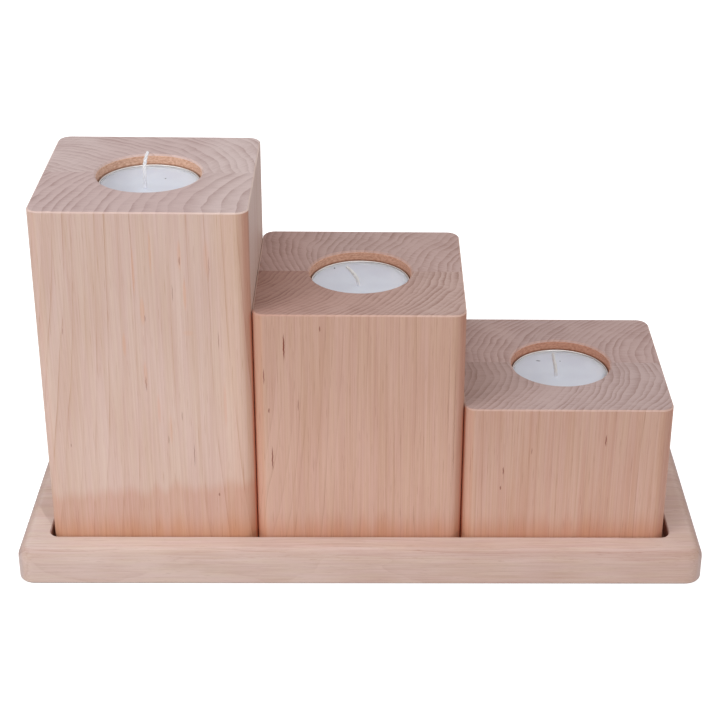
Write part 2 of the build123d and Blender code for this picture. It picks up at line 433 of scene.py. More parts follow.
# %% Fleck group
fleck, given, put = new_group(
    "fleck",
    [("Place", "Vector"), ("Across", "Float"), ("Depth", "Float"), ("Half Width", "Float"),
     ("Half Length", "Float"), ("Strength", "Float")],
    [("Mask", "Float")],
)
raggedness = 0.5
spot = parts(fleck, given["Place"])
ragged = calc(fleck, "SUBTRACT", noise(fleck, given["Place"], (0.0, 0.0, 0.6), 1.0), 0.5)
sideways = calc(fleck, "MULTIPLY_ADD", ragged, raggedness, spot["X"])
sideways = calc(fleck, "SUBTRACT", sideways, given["Across"])
upwards = calc(fleck, "ADD", spot["Z"], given["Depth"])
far = oval(fleck, sideways, given["Half Width"], upwards, given["Half Length"])
soft_spot = ramp(fleck, far, 0.10, 1.0, 1.0, 0.0)
fleck.links.new(calc(fleck, "MULTIPLY", soft_spot, given["Strength"]), put["Mask"])
print("fleck:", len(fleck.nodes), "nodes")

# %% [markdown]
# ## Wood material
# Each stave is a different piece of a tree, so each gets a material of its own from one function. A
# Mapping node carries a point into the stave's own millimetres, with z along its fibres. The normal tells
# end grain from the faces along the fibres.

# %% Wood material
wood_sheen = 0.30
wood_relief, wood_relief_depth = 0.30, 0.08 * mm
end_grain_facing = (0.55, 0.80)


def millimetres(tree, origin=(0.0, 0.0, 0.0), turn=(0.0, 0.0, 0.0), stretch=1.0):
    """A point in millimetres from an origin, with z turned along the fibres and counted in stretches."""
    point = add_node(tree, "ShaderNodeTexCoord").outputs["Object"]
    sockets = {"Vector": point, "Location": origin, "Rotation": turn, "Scale": (mm, mm, stretch * mm)}
    return add_node(tree, "ShaderNodeMapping", sockets, vector_type="TEXTURE").outputs[0]


def relief(tree, height, strength, depth):
    """A relief that only bends the light, with its depth in metres."""
    sockets = {"Height": height, "Strength": strength, "Distance": depth}
    return add_node(tree, "ShaderNodeBump", sockets).outputs[0]


def wood_material(name, origin, fibre_turn, ring, colours, line_strength, stretch=1.0):
    """Ring holds the values for growth_rings: turn in degrees, radius of the arcs and ring width in mm.
    Returns the material with what later steps need, and with a place for the values of its masks."""
    material, tree, shader = new_material(name)
    place = millimetres(tree, origin, fibre_turn, stretch)
    facing = add_node(tree, "ShaderNodeTexCoord").outputs["Normal"]
    facing = add_node(tree, "ShaderNodeMapping", {"Vector": facing, "Rotation": fibre_turn},
                      vector_type="TEXTURE")
    normal = parts(tree, facing.outputs[0])
    ring_values = {"Place": place, "Turn": radians(ring["turn"]), "Apex": ring["apex"],
                   "Bow": 0.5 / ring["radius"], "Rings per mm": 1 / ring["width"],
                   "Crowding": ring.get("crowding", 0.0), "Wander": ring["wander"],
                   "Lean": ring.get("lean", 0.0), "Fan": ring.get("fan", 0.0), "Seed": ring["seed"]}
    years = add_node(tree, "ShaderNodeGroup", ring_values, node_tree=rings)
    paints = {"Place": place, "Line Strength": line_strength,
              "End Grain": ramp(tree, calc(tree, "ABSOLUTE", normal["Z"]), *end_grain_facing)}
    paints |= {socket: years.outputs[socket] for socket in ("Ring Place", "Phase", "Luck")}
    paints |= {socket: screen_colour(*colour) for socket, colour in colours.items()}
    paint = add_node(tree, "ShaderNodeGroup", paints, node_tree=figure)
    fill(tree, shader, {"Roughness": paint.outputs["Roughness"], "Specular IOR Level": wood_sheen,
                        "Normal": relief(tree, paint.outputs["Relief"], wood_relief, wood_relief_depth)})
    return SimpleNamespace(material=material, tree=tree, shader=shader, colour=paint.outputs["Color"],
                           place=place, along=parts(tree, place), normal=normal, years=years, values={})


print("wood material uses", len(rings.nodes) + len(figure.nodes), "nodes in groups")

# %% [markdown]
# A wood's colour is changed step by step: a tint multiplies it, which keeps the grain, and a cover hides
# it. Where they show is said by masks. At the end the colour is wired to the shader, and the solid gets
# its material.

# %% Change and finish a wood
def tint(wood, share, factor):
    """Multiplies the wood's colour by a factor, as far as the share says."""
    wood.colour = mix_colour(wood.tree, share, wood.colour, factor, "MULTIPLY")


def cover(wood, share, colour):
    """Lays a colour over the wood's own, as far as the share says."""
    wood.colour = mix_colour(wood.tree, share, wood.colour, colour)


def where(wood, *masks, **limits):
    """A product of masks. Each limit names a value of the wood, and says where its ramp is 0 and where 1."""
    ramps = [ramp(wood.tree, wood.values[name], *ends) for name, ends in limits.items()]
    return product(wood.tree, *masks, *ramps)


def dress(node_name, material):
    """Gives a solid its material."""
    slots = nodes[node_name].data.materials
    slots.clear()
    slots.append(material)
    print("dressed", node_name)


def finish_wood(wood, stave):
    wood.tree.links.new(wood.colour, wood.shader.inputs["Base Color"])
    dress(stave, wood.material)


print("ready to dress", len(nodes), "solids")

# %% [markdown]
# ## Blocks
# The two staves of a block come from different sides of a tree, so their rings meet at the glue line at
# an angle. Turn is the direction from the heart outwards, seen from above. The arcs are symmetric about a
# line beside the middle of the block, which Apex places. The rings could come from a random seed, but
# then no top would look like the real one, so each stave has its own values. The tall block is the palest
# one.

# %% Rings and colours of the block staves
block_rings = {
    "tall_block_front_stave": dict(turn=180, apex=38.0, radius=48.0, width=4.7, crowding=0.0009, wander=5.0,
                                   lean=0.015, fan=0.0020, seed=1.0),
    "tall_block_rear_stave": dict(turn=52, apex=16.0, radius=59.0, width=2.9, crowding=-0.0014, wander=6.0,
                                  seed=2.0),
    "middle_block_front_stave": dict(turn=-17, apex=-5.0, radius=60.0, width=2.3, wander=5.0, lean=-0.045,
                                     fan=0.0015, seed=3.0),
    "middle_block_rear_stave": dict(turn=152, apex=-38.0, radius=52.0, width=3.3, wander=6.0, seed=4.0),
    "short_block_front_stave": dict(turn=0, apex=-10.0, radius=40.0, width=2.7, wander=5.0, seed=5.0),
    "short_block_rear_stave": dict(turn=180, apex=-5.0, radius=33.0, width=3.0, wander=5.0, seed=6.0),
}
block_colours = {
    "tall": {"Pale": (218, 191, 180), "Warm": (207, 175, 160), "Line": (176, 126, 96)},
    "middle": {"Pale": (210, 172, 156), "Warm": (198, 157, 138), "Line": (152, 104, 80)},
    "short": {"Pale": (207, 170, 154), "Warm": (197, 154, 135), "Line": (152, 104, 80)},
}
end_colours = {
    "tall_block_front_stave": {"End Pale": (190, 167, 164), "End Dark": (160, 134, 130)},
    "tall_block_rear_stave": {"End Pale": (193, 171, 168), "End Dark": (166, 140, 136)},
    "middle_block_front_stave": {"End Pale": (178, 148, 139), "End Dark": (143, 109, 99)},
    "middle_block_rear_stave": {"End Pale": (181, 154, 148), "End Dark": (150, 119, 111)},
    "short_block_front_stave": {"End Pale": (181, 158, 154), "End Dark": (151, 124, 118)},
    "short_block_rear_stave": {"End Pale": (181, 155, 150), "End Dark": (151, 121, 115)},
}
line_strengths = {"tall": 0.75, "middle": 0.52, "short": 0.50}
print("block staves:", len(block_rings))

# %% [markdown]
# ## Faces of a block
# The effects that follow each show on some faces only. Faces could be picked out one by one, but the
# place and the normal tell them apart. Places are in millimetres from the middle of the block's top, so
# depths are below 0.

# %% Values that tell a block's faces apart
def find_faces(wood):
    tree, along, normal = wood.tree, wood.along, wood.normal
    flat = add_node(tree, "ShaderNodeVectorMath", {0: wood.place, 1: (1.0, 1.0, 0.0)}, operation="MULTIPLY")
    off_axis = add_node(tree, "ShaderNodeVectorMath", {0: flat.outputs[0]}, operation="LENGTH")
    wood.values |= {
        "across": along["X"], "off_middle": calc(tree, "ABSOLUTE", along["Y"]), "height": along["Z"],
        "off_axis": off_axis.outputs["Value"],
        "facing_right": normal["X"], "facing_up": normal["Z"],
        "level": calc(tree, "ABSOLUTE", normal["Z"]), "frontal": calc(tree, "ABSOLUTE", normal["Y"]),
    }
    wood.sides = where(wood, level=(0.60, 0.35))
    wood.top = where(wood, level=(0.35, 0.60))
    wood.front = where(wood, wood.sides, frontal=(0.05, 0.25))


print("face masks ready")

# %% [markdown]
# ## Upright edges
# The rounded upright edges on the right are browner, and on the tall block this fades downwards. Those on
# the left are a little warmer. In the narrow gaps between two blocks a painted warm red stands for the light
# that goes from wood to wood. Edges could be painted by hand, but masks from the normal follow them by
# themselves.

# %% Upright edges
browning = (0.76, 0.50, 0.40, 1.0)
# How strong the browning is on the upper and on the lower part of each block
browning_shares = {"tall": (0.72, 0.30), "middle": (0.55, 0.55), "short": (0.42, 0.42)}
browning_top, browning_foot = -35.0, -75.0
left_edge_tint = (1.0, 0.88, 0.78, 1.0)
left_edge_shares = {"tall": 0.2, "middle": 0.8, "short": 0.6}
# Painted warm red of light bounced between neighbouring blocks
gap_bounce_tint = (1.08, 0.64, 0.47, 1.0)
# How far below each top the next block on the right starts
next_block_depths = {"tall": 40.0, "middle": 40.0}
gap_softness = 6.0


def colour_edges(wood, block):
    upper_share, lower_share = browning_shares[block]
    browned = ramp(wood.tree, wood.along["Z"], browning_foot, browning_top, lower_share, upper_share)
    tint(wood, where(wood, wood.front, browned, facing_right=(0.05, 0.85)), browning)
    tint(wood, where(wood, wood.front, left_edge_shares[block], facing_right=(-0.10, -0.45)), left_edge_tint)
    corner = where(wood, wood.sides, off_middle=(35.0, 37.0))
    if block in next_block_depths:
        start = -next_block_depths[block]
        beside_next = where(wood, corner, height=(start, start - gap_softness))
        # Painted warm red of the light that goes from wood to wood in the gap on the right
        tint(wood, where(wood, beside_next, facing_right=(0.84, 0.98)), gap_bounce_tint)
    if block != "tall":
        # Painted warm red of the light that goes from wood to wood in the gap on the left
        tint(wood, where(wood, corner, facing_right=(-0.84, -0.98)), gap_bounce_tint)


print("burnish on the right edges of", len(browning_shares), "blocks")

# %% [markdown]
# ## Arrises
# The edge between the top and a side is called an arris. It catches the light as a thin pale line. The solid
# has the small bevel that does this, and a painted highlight on its slope makes the line as clear as it is.
# On the two lower blocks the left arris gets a paler painted highlight still, which lightens the shade of
# the gap beside the block on the left. The rim of the socket slopes too, so only what lies well outside the
# socket counts.

# %% Arrises
socket_radius = 20.0
arris_start = 1.5 * socket_radius
# Painted highlights on the arrises
arris_highlight_share = 0.4
left_arris_highlight = screen_colour(240, 226, 219)


def highlight_arrises(wood, block):
    outer = calc(wood.tree, "GREATER_THAN", wood.values["off_axis"], arris_start)
    # Painted highlight on the sloping arris round the top
    sloping = where(wood, outer, arris_highlight_share, facing_up=(0.55, 0.65))
    cover(wood, where(wood, sloping, facing_up=(0.90, 0.78)), screen_colour(*block_colours[block]["Pale"]))
    if block != "tall":
        to_left = where(wood, outer, facing_right=(-0.15, -0.45), facing_up=(0.02, 0.12))
        # Paler painted highlight on the left arris, against the shade of the gap
        cover(wood, where(wood, to_left, off_middle=(36.0, 33.0)), left_arris_highlight)


print("arrises start", arris_start, "mm from the socket's axis")

# %% [markdown]
# ## Upper sides and feet
# The sides of all blocks get painted shade, a little darker towards the top. The foot is warmer and darker,
# painted light bounced from the tray it stands in, with its shade. A straight limit would look like paint,
# so noise makes the edge of the foot ragged. The tall block has more tones: painted shade makes its right
# side darker and cooler near the top, its front is yellower along the right, and a browner band above the
# foot rises to the right.

# %% Upper sides and feet
tray_rim = 14.5
upper_start = 0.15
# Painted shade, darker towards the top of the sides
upper_shade_tints = {"tall": (0.88, 0.88, 0.88, 1.0), "middle": (0.86, 0.86, 0.85, 1.0),
               "short": (0.90, 0.90, 0.90, 1.0)}
# Painted warm light bounced from the tray, with its shade, at the foot
foot_bounce_tints = {"tall": (0.95, 0.79, 0.63, 1.0), "middle": (0.93, 0.75, 0.63, 1.0),
              "short": (0.93, 0.75, 0.63, 1.0)}
foot_raggedness = 16.0
# Painted shade on the tall block's right side
right_side_shade = (0.88, 0.86, 0.89, 1.0)
right_front_tint = (1.0, 0.955, 0.90, 1.0)
band_tint, band_rise = (0.93, 0.81, 0.765, 1.0), 0.08


def shade_tall_block(wood):
    # Painted shade on the right side, darker and cooler near the top
    tint(wood, where(wood, facing_right=(0.90, 0.98), height=(-45.0, -8.0)), right_side_shade)
    tint(wood, where(wood, wood.front, across=(24.0, 33.0)), right_front_tint)
    wood.values["band"] = calc(wood.tree, "MULTIPLY_ADD", wood.along["X"], -band_rise, wood.values["ragged"])
    tint(wood, where(wood, wood.sides, band=(33.0, 26.0)), band_tint)


def shade_heights(wood, block, top_height):
    """Top height is that of the block's top over the tray's rim, in millimetres."""
    above_rim = calc(wood.tree, "ADD", wood.along["Z"], top_height)
    uneven = noise(wood.tree, wood.place, (0.15, 0.15, 0.0), 4.0)
    ragged = calc(wood.tree, "MULTIPLY_ADD", uneven, foot_raggedness, above_rim)
    wood.values |= {"above_rim": above_rim, "ragged": ragged}
    # Painted shade: the sides darker towards the top
    tint(wood, where(wood, wood.sides, above_rim=(upper_start * top_height, top_height)), upper_shade_tints[block])
    if block == "tall":
        shade_tall_block(wood)
    # Painted warm bounced light and shade at the foot
    tint(wood, where(wood, wood.sides, ragged=(21.0, 6.0)), foot_bounce_tints[block])


print("warm feet on", len(foot_bounce_tints), "blocks")

# %% [markdown]
# ## Tops
# Wood near the heart of the tree is darker, which shows on two of the tops, and there the same tint also
# paints the shade of the taller block beside them. Most tops also change in tone from one side to the other.
# Some of this is painted light and shade: a painted shadow of the tall block on the left of the middle
# block's rear stave, and painted light on the left of the short block's rear stave, against the shade of the
# middle one. Both are slow changes, so a ramp along the rings and one from side to side will do.

# %% Tops
heart = -45.0
# Each dark heart, which also paints the shade of the taller block beside it: its tint, and how far outwards
# along the rings it reaches
hearts_and_shade = {
    "middle_block_front_stave": ((0.75, 0.60, 0.535, 1.0), 34.0),
    "short_block_front_stave": ((0.90, 0.84, 0.80, 1.0), 6.0),
}
# Each change of tone: its tint, the place across where it starts, and where it is full
paler_left = ((1.04, 1.07, 1.07, 1.0), -16.0, -28.0)
paler_right = ((1.09, 1.14, 1.14, 1.0), 14.0, 28.0)
top_tones_and_shading = {
    "tall_block_front_stave": [paler_right],
    "tall_block_rear_stave": [paler_left, paler_right],
    "middle_block_front_stave": [((1.05, 1.10, 1.12, 1.0), 8.0, 28.0)],
    # Painted shadow of the tall block on the left
    "middle_block_rear_stave": [((0.90, 0.82, 0.79, 1.0), -5.0, -38.0)],
    # Painted light on the left, against the shade of the middle block
    "short_block_rear_stave": [((1.06, 1.06, 1.05, 1.0), -10.0, -26.0)],
}


def shade_top(wood, stave):
    if stave in hearts_and_shade:
        factor, heart_end = hearts_and_shade[stave]
        wood.values["reach"] = parts(wood.tree, wood.years.outputs["Ring Place"])["X"]
        # Darker heartwood, with the painted shade of the taller block beside it
        tint(wood, where(wood, wood.top, reach=(heart_end, heart)), factor)
    for factor, start, full in top_tones_and_shading.get(stave, ()):
        tint(wood, where(wood, wood.top, across=(start, full)), factor)


print("tops with a heart:", len(hearts_and_shade), "and with a change of tone:", len(top_tones_and_shading))

# %% [markdown]
# ## Socket wall
# The wall of a socket was bored across the fibres, so it has no figure: it is an even, slightly fuzzy peach.
# Where it goes down beside the cup it gets painted shade, browner, for the narrow gap between wall and cup.
# It could be a second material on those faces, but a mask on the distance from the socket's axis needs no
# faces to be picked.

# %% Socket wall
wall_colours = {"tall": ((218, 180, 156), (188, 142, 118)), "middle": ((211, 166, 142), (183, 132, 107)),
                "short": ((204, 153, 129), (176, 121, 97))}
# Painted shade of the gap beside the cup
gap_shade = (0.66, 0.60, 0.58, 1.0)
# Heights between which painted shade makes the wall browner beside the cup, and distances from the axis
# between which the wall begins
gap_shade_heights = (-3.4, -4.0)
bore_edge = (socket_radius + 0.20, socket_radius + 0.05)


def line_socket(wood, block):
    tree = wood.tree
    pale_wall, warm_wall = (screen_colour(*tone) for tone in wall_colours[block])
    fuzz = ramp(tree, noise(tree, wood.place, (0.9, 0.9, 1.8), 3.0), 0.25, 0.75)
    wall = mix_colour(tree, fuzz, pale_wall, warm_wall)
    # Painted shade of the narrow gap beside the cup
    wall = mix_colour(tree, where(wood, height=gap_shade_heights), wall, gap_shade, "MULTIPLY")
    cover(wood, where(wood, off_axis=bore_edge), wall)


print("socket walls for", len(wall_colours), "blocks")

# %% [markdown]
# ## Marks on the fronts
# The fronts have dark flecks, and the tall one also soft orange marks beside its rings and some pale
# streaks. All three are long ovals along the fibres, so the fleck group draws them, each with its own
# colour. Each mark has its place across the front, its depth below the top, its width, its length and its
# strength.

# %% Marks on the fronts
pale_streaks = {
    "tall_block_front_stave": [
        (13.6, 58.0, 2.2, 120.0, 0.26), (31.0, 96.0, 5.0, 60.0, 0.20), (-19.0, 88.0, 6.0, 90.0, 0.16)],
}
orange_marks = {
    "tall_block_front_stave": [
        (0.2, 39.5, 2.2, 14.0, 0.32), (16.2, 32.5, 1.6, 16.0, 0.32), (-7.3, 53.5, 1.7, 12.0, 0.30),
        (16.8, 48.5, 5.0, 3.0, 0.16), (24.7, 18.0, 2.8, 18.0, 0.18), (14.8, 17.0, 1.8, 15.0, 0.26),
        (8.5, 90.0, 1.4, 16.0, 0.28), (4.3, 81.0, 1.4, 16.0, 0.28), (29.7, 79.5, 1.4, 24.0, 0.28),
        (0.0, 66.0, 1.6, 14.0, 0.28), (-2.4, 23.0, 1.3, 24.0, 0.28), (4.2, 15.5, 1.2, 22.0, 0.25)],
}
dark_flecks = {
    "tall_block_front_stave": [
        (0.0, 70.0, 0.7, 8.0, 0.40), (17.0, 101.0, 0.5, 13.0, 0.45), (14.8, 19.0, 0.6, 4.5, 0.45),
        (-30.0, 48.0, 0.5, 3.5, 0.30), (26.0, 119.0, 0.8, 1.8, 0.60), (11.7, 32.0, 0.5, 9.0, 0.35),
        (1.0, 42.5, 0.5, 3.5, 0.40), (25.5, 21.0, 0.5, 10.0, 0.30), (28.0, 51.5, 0.5, 9.0, 0.35),
        (7.4, 94.5, 0.5, 4.5, 0.40), (13.0, 84.0, 0.5, 5.0, 0.35), (-30.3, 97.0, 0.5, 2.0, 0.40)],
    "middle_block_front_stave": [
        (-28.5, 13.2, 0.7, 12.5, 1.0), (-14.9, 5.7, 0.6, 3.0, 0.7), (-34.6, 40.6, 0.7, 2.6, 0.7),
        (-23.4, 38.2, 0.5, 6.0, 0.5), (-33.7, 61.8, 0.6, 12.5, 0.85), (-36.3, 26.0, 0.6, 8.0, 0.7),
        (34.2, 30.0, 0.5, 60.0, 0.25), (36.6, 45.0, 0.5, 70.0, 0.30)],
    "short_block_front_stave": [
        (14.6, 13.4, 0.6, 6.0, 0.85), (-24.9, 27.1, 0.6, 4.2, 0.75), (-25.7, 34.9, 0.7, 2.2, 0.7),
        (-14.1, 18.2, 0.5, 3.6, 0.45)],
}
front_marks = (
    (pale_streaks, screen_colour(226, 203, 194)),
    (orange_marks, screen_colour(212, 154, 120)),
    (dark_flecks, screen_colour(112, 46, 28)),
)


def draw_marks(wood, stave):
    for marks, colour in front_marks:
        for across_front, depth, width, length, strength in marks.get(stave, ()):
            sockets = {"Place": wood.place, "Across": across_front, "Depth": depth, "Half Width": width / 2,
                       "Half Length": length / 2, "Strength": strength}
            mark = add_node(wood.tree, "ShaderNodeGroup", sockets, node_tree=fleck).outputs["Mask"]
            cover(wood, product(wood.tree, mark, wood.sides), colour)


print("marks:", sum(len(places) for marks, colour in front_marks for places in marks.values()))

# %% [markdown]
# ## Dress the blocks
# Now each stave gets its wood, and the steps above follow in turn. Their order matters: the socket's wall
# covers what the top got before it, and the marks lie over everything.

# %% Dress the blocks
upright = (0.0, 0.0, 0.0)
for stave, ring in block_rings.items():
    low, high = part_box(stave)
    block_top = ((low.x + high.x) / 2, 0.0, high.z)
    block = stave.split("_")[0]
    colours = block_colours[block] | end_colours[stave]
    wood = wood_material(stave + "_wood", block_top, upright, ring, colours, line_strengths[block])
    find_faces(wood)
    colour_edges(wood, block)
    highlight_arrises(wood, block)
    shade_heights(wood, block, high.z / mm - tray_rim)
    shade_top(wood, stave)
    line_socket(wood, block)
    draw_marks(wood, stave)
    finish_wood(wood, stave)

# %% [markdown]
# ## Tray
# The tray's three staves lie flat, with their fibres along the tray, so their Mapping turns the fibre axis
# from upright to lengthways, and x then points down. The rings cut the faces at a low angle, which gives
# long quiet streaks. Painted light and shade follow: the tray is a little cooler at the left end and darker
# and browner towards the right, where the light falls off. Painted light makes its rim top the palest,
# painted shade darkens its rounding and its lower edge, and in the recess a painted warm shade stands for
# light going from wood to wood.

# %% Tones of the tray
stretch = 0.45
tray_half_length = 135.0
# Painted light falling off from the left end of the tray to the right
left_end_light, right_end_shade = (1.0, 1.01, 1.02, 1.0), (0.93, 0.88, 0.87, 1.0)
# Painted light on the upward faces of the tray
rim_top_light = (1.03, 1.08, 1.11, 1.0)
# Painted shade on the rounded edge
rounding_shade = (0.83, 0.80, 0.79, 1.0)
# Painted shade on the downward faces
lower_edge_shade = (0.74, 0.79, 0.84, 1.0)
# Painted warm shade in the recess
recess_shade = (0.70, 0.47, 0.39, 1.0)
recess_half_length, recess_half_width = 127.0, 41.0
# Heights over the middle of the tray's thickness
recess_bottom, recess_top = -0.4, 6.6


def shade_tray(wood, stave_y):
    """Stave y is how far the stave's middle lies behind the tray's middle, in millimetres."""
    tree, down = wood.tree, wood.normal["X"]
    along_tray = calc(tree, "MULTIPLY", wood.along["Z"], stretch)
    wood.values |= {"along_tray": along_tray, "facing_down": down}
    to_right = where(wood, along_tray=(-tray_half_length, tray_half_length))
    # Painted light falling off from the left end to the right
    tint(wood, 1.0, mix_colour(tree, to_right, left_end_light, right_end_shade))
    # Painted light on the rim's top
    tint(wood, where(wood, facing_down=(-0.85, -0.98)), rim_top_light)
    level_share = calc(tree, "MULTIPLY", down, down)
    # This is 1 on a slope of 45 degrees and 0 on level and upright faces
    half_way = product(tree, level_share, calc(tree, "SUBTRACT", 1.0, level_share), 4.0)
    # Painted shade on the rounding
    tint(wood, half_way, rounding_shade)
    # Painted shade on the lower edge
    tint(wood, where(wood, facing_down=(0.05, 0.50)), lower_edge_shade)
    height = calc(tree, "MULTIPLY", wood.along["X"], -1.0)
    inside = product(
        tree,
        calc(tree, "COMPARE", height, (recess_top + recess_bottom) / 2, (recess_top - recess_bottom) / 2),
        calc(tree, "COMPARE", calc(tree, "ADD", wood.along["Y"], stave_y), 0.0, recess_half_width),
        calc(tree, "COMPARE", along_tray, 0.0, recess_half_length),
    )
    # Painted warm shade in the recess, for light going from wood to wood
    tint(wood, inside, recess_shade)


print("warm recess within", recess_half_length, "and", recess_half_width, "mm of the middle")

# %% [markdown]
# The three staves share their colours, but come from different boards, so each has rings of its own.

# %% Dress the tray
fibres_lengthways = (0.0, pi / 2, 0.0)
tray_line_strength = 0.65
tray_colours = {"Pale": (212, 189, 179), "Warm": (197, 168, 155), "Line": (164, 124, 105),
                "End Pale": (200, 178, 172), "End Dark": (172, 148, 140)}
tray_rings = {
    "tray_front_stave": dict(turn=-65, apex=6.0, radius=30.0, width=2.6, wander=7.0, seed=7.0),
    "tray_middle_stave": dict(turn=115, apex=4.0, radius=45.0, width=3.0, wander=7.0, seed=8.0),
    "tray_rear_stave": dict(turn=-50, apex=-8.0, radius=40.0, width=2.8, wander=7.0, seed=9.0),
}
for stave, ring in tray_rings.items():
    low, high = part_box(stave)
    stave_middle = (0.0, (low.y + high.y) / 2, (low.z + high.z) / 2)
    wood = wood_material(stave + "_wood", stave_middle, fibres_lengthways, ring, tray_colours,
                         tray_line_strength, stretch)
    shade_tray(wood, stave_middle[1] / mm)
    finish_wood(wood, stave)

# %% [markdown]
# ## Turning a profile
# Cup and wax are round. They could be stacked from cylinders, but half a cross-section spun once round
# its axis gives every curve of the wall. The profile is a few points, and its corners are rounded by
# bevelling the points before the spin.

# %% Spin helper
spin_steps = 96
merge_distance = 0.002 * mm


def spun_mesh(profile, rounding, axis_point):
    """Profile points are (radius, height) in metres. Rounding: a point's number to (radius, segments)."""
    bm = bmesh.new()
    points = [bm.verts.new((radius, 0.0, height)) for radius, height in profile]
    for first, second in zip(points, points[1:]):
        bm.edges.new((first, second))
    for number, (radius, segments) in rounding.items():
        bmesh.ops.bevel(bm, geom=[points[number]], offset=radius, offset_type="OFFSET", affect="VERTICES",
                        segments=segments, profile=0.5, material=-1)
    bmesh.ops.spin(bm, geom=bm.verts[:] + bm.edges[:], cent=(0, 0, 0), axis=(0, 0, 1), angle=2 * pi,
                   steps=spin_steps, use_merge=True)
    bmesh.ops.remove_doubles(bm, verts=bm.verts, dist=merge_distance)
    bmesh.ops.recalc_face_normals(bm, faces=bm.faces)
    bmesh.ops.translate(bm, verts=bm.verts, vec=axis_point)
    return bm


print("a spin has", spin_steps, "steps")

# %% [markdown]
# A finished piece is shaded smooth. It rides on the body of its tealight, so that it lifts out with it,
# and takes the place of the plain solid.

# %% Finish a piece
tealights = ("tall", "middle", "short")


def finish_piece(bm, tealight, look, part, material):
    """Turns a bmesh into a smooth piece that stands for a part of a tealight and moves with it."""
    name = tealight + "_" + look
    body = tealight + "_tealight"
    node = body + "_" + part
    for face in bm.faces:
        face.smooth = True
    mesh = bpy.data.meshes.new(name)
    bm.to_mesh(mesh)
    bm.free()
    mesh.materials.append(material)
    piece = bpy.data.objects.new(name, mesh)
    bpy.context.scene.collection.objects.link(piece)
    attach(piece, body)
    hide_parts(node)
    print("made", name, len(mesh.polygons), "faces")
    return piece


print("tealights:", len(tealights))

# %% [markdown]
# ## Tealight cups
# A tealight cup is pressed from thin aluminium. Foil is bright but never quite even: it could have one
# roughness, but then it would look like chrome. So its tone and roughness waver, with fine rings from the
# press.

# %% Foil
foil_bright, foil_dull = screen_colour(212, 208, 206), screen_colour(192, 189, 189)
foil, tree, shader = new_material("cup_foil")
place = millimetres(tree)
press_rings = noise(tree, place, (0.15, 0.15, 6.0), 2.0)
dull = noise(tree, place, (0.3, 0.3, 0.3), 3.0)
fill(tree, shader, {
    "Base Color": mix_colour(tree, dull, foil_bright, foil_dull),
    "Roughness": between(tree, dull, 0.34, 0.59),
    "Metallic": 1.0,
    "Normal": relief(tree, press_rings, 0.2, 0.05 * mm),
})
print("foil:", len(tree.nodes), "nodes")

# %% [markdown]
# The press gives the cup a flat floor with a raised ring, a wall that leans out a little, and a rim
# rolled outwards into a bead. The profile runs along the outside up to the bead, round it, and down the
# inside.

# %% Cups
foil_thickness = 0.3 * mm
bead_radius = 0.30 * mm
bead_angles = range(30, 331, 30)
cup_draft = 0.4 * mm
heel_radius, heel_segments = 1.2 * mm, 6
ring_foot, ring_top, ring_height = 12.0 * mm, 10.5 * mm, 0.15 * mm
for name in tealights:
    low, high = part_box(name + "_tealight_cup")
    axis_point = Vector(((low.x + high.x) / 2, 0.0, low.z))
    wall = (high.x - low.x) / 2 - bead_radius
    base = wall - cup_draft
    rim = high.z - low.z - bead_radius
    outside = [(0.0, ring_height), (ring_top, ring_height), (ring_foot, 0.0), (base, 0.0)]
    outer_heel = len(outside) - 1
    bead = [(wall, rim - bead_radius)]
    bead += [(wall + bead_radius * sin(radians(angle)), rim - bead_radius * cos(radians(angle)))
             for angle in bead_angles]
    inside = [(wall - foil_thickness, rim - bead_radius), (base - foil_thickness, foil_thickness),
              (0.0, foil_thickness)]
    profile = outside + bead + inside
    inner_heel = len(profile) - 2
    rounding = {outer_heel: (heel_radius, heel_segments),
                inner_heel: (heel_radius - foil_thickness, heel_segments)}
    bm = spun_mesh(profile, rounding, axis_point)
    finish_piece(bm, name, "foil_cup", "cup", foil)

# %% [markdown]
# ## Wax
# Light enters wax and comes out near by. A plain white surface would look like plaster, so the wax gets
# subsurface scattering. Painted shade makes it greyer towards the left, and a few tiny specks of soot lie on
# it.

# %% Wax material
wax_white, wax_grey = screen_colour(209, 213, 223), screen_colour(204, 207, 218)
# Painted shade, greyer towards the left of the wax
wax_left_shade = (0.86, 0.86, 0.87, 1.0)
left_shade_from, left_shade_to = -17.0, 0.0
left_shade_shares = {"tall": 1.0, "middle": 0.3, "short": 0.6}
soot, soot_strength = screen_colour(70, 74, 84), 0.85
# Each speck: its place from the middle of the cup, its length along x and its width, in millimetres
wax_specks = {"tall": [(5.0, 9.5, 0.8, 0.9)], "middle": [(-10.5, 14.0, 0.7, 1.1)],
              "short": [(-7.8, 12.2, 2.2, 0.8), (1.3, 12.5, 0.6, 0.7)]}
wax_light_path = 5.0 * mm
red_goes_farthest = (1.0, 0.95, 0.9)


